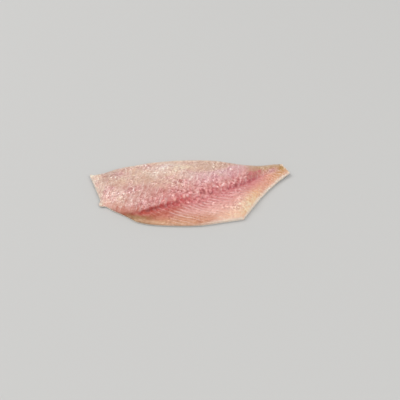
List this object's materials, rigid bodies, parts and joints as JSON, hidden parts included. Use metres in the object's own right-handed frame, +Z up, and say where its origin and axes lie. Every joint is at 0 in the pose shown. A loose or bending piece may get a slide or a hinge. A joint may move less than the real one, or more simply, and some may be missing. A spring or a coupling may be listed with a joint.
{
  "type": "sea bream fillet",
  "caption": "Raw skin-on fish fillet laid skin down, with a thick loin, a chevron-grained cut face, a thin belly flap and a tapered tail end.",
  "frame": {"origin": "middle of the fillet's box, on the surface it lies on", "axes": "+X from the head end to the tail end, +Y from the belly to the back, +Z up from the skin to the cut flesh"},
  "size_m": [0.1948, 0.0993, 0.0163],
  "materials": {
    "flesh": "wet raw fish flesh, soft and slightly see-through, glossy in spots",
    "skin": "wet scaled fish skin, silvery with a dark back and a pale belly"
  },
  "bodies": {
    "root": {"flesh": "flesh", "skin": "skin"}
  },
  "joints": []
}
